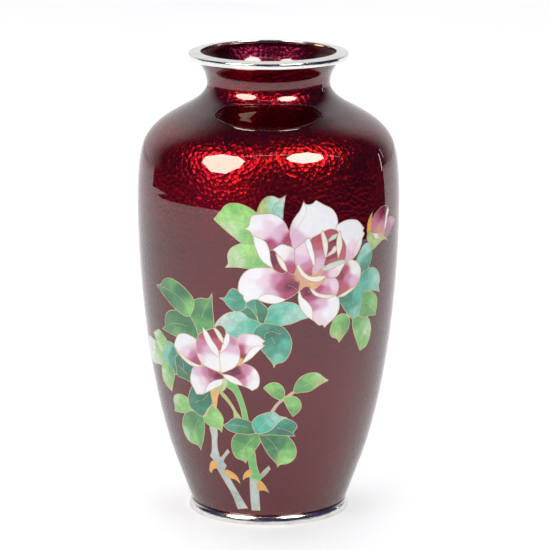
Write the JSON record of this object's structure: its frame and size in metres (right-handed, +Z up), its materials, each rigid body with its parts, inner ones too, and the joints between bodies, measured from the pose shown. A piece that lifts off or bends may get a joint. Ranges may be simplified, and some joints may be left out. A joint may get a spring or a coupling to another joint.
{
  "type": "cloisonne vase",
  "caption": "Shouldered cloisonne vase with a flared neck, ruby enamel over hammered copper, wired rose sprays and plated rings.",
  "frame": {"origin": "centre of the ring that the foot stands on, at table height", "axes": "+Z up the vase's axis of turning; the flower sprays face -Y; +X is to the viewer's right"},
  "size_m": [0.104, 0.104, 0.185],
  "materials": {
    "copper": "spun copper, satin",
    "plated_ring": "polished silver-coloured plating with fine handling marks",
    "enamel_ruby": "transparent deep red enamel over hammered foil, polished",
    "enamel_ruby_lining": "transparent red enamel, polished",
    "enamel_counter": "dark counter enamel, fire polished",
    "wire_gilt": "fine cloison wire, polished flush",
    "enamel_white": "opaque white enamel, polished",
    "enamel_pink": "opaque enamel shaded from white to magenta, polished",
    "enamel_plum": "plum and rose-red enamel, polished",
    "enamel_orange": "apricot enamel, polished",
    "enamel_grey_blue": "pale grey-blue enamel, polished",
    "enamel_leaf_light": "light green enamel, polished",
    "enamel_leaf_teal": "teal green enamel, polished",
    "enamel_leaf_deep": "mid and dark green enamel, polished"
  },
  "bodies": {
    "root": {"copper_body": "copper", "base_disc": "copper", "ground_enamel": "enamel_ruby", "neck_enamel": "enamel_ruby_lining", "inner_enamel": "enamel_counter", "base_enamel": "enamel_counter", "rim_ring": "plated_ring", "foot_ring": "plated_ring", "rose_petals": "enamel_pink", "rose_folds": "enamel_white", "rose_heart": "enamel_plum", "rose_wires": "wire_gilt", "small_rose_petals": "enamel_pink", "small_rose_folds": "enamel_white", "small_rose_heart": "enamel_plum", "small_rose_sepals": "enamel_orange", "small_rose_wires": "wire_gilt", "bud_petals": "enamel_pink", "bud_sepals": "enamel_orange", "bud_calyx": "enamel_leaf_light", "bud_wires": "wire_gilt", "left_leaves": "enamel_leaf_light", "left_leaf_wires": "wire_gilt", "right_leaves": "enamel_leaf_teal", "right_leaf_wires": "wire_gilt", "centre_leaves": "enamel_leaf_teal", "centre_leaf_wires": "wire_gilt", "upper_left_leaves": "enamel_leaf_deep", "upper_left_leaf_wires": "wire_gilt", "far_left_leaves": "enamel_leaf_deep", "far_left_leaf_wires": "wire_gilt", "lower_left_leaves": "enamel_leaf_deep", "lower_left_leaf_wires": "wire_gilt", "lower_leaves": "enamel_leaf_deep", "lower_leaf_wires": "wire_gilt", "sprig_leaves": "enamel_leaf_light", "sprig_stalk": "enamel_leaf_light", "sprig_wires": "wire_gilt", "stems": "enamel_grey_blue", "stalks": "enamel_leaf_light", "thorns": "enamel_orange", "stem_wires": "wire_gilt"}
  },
  "joints": []
}
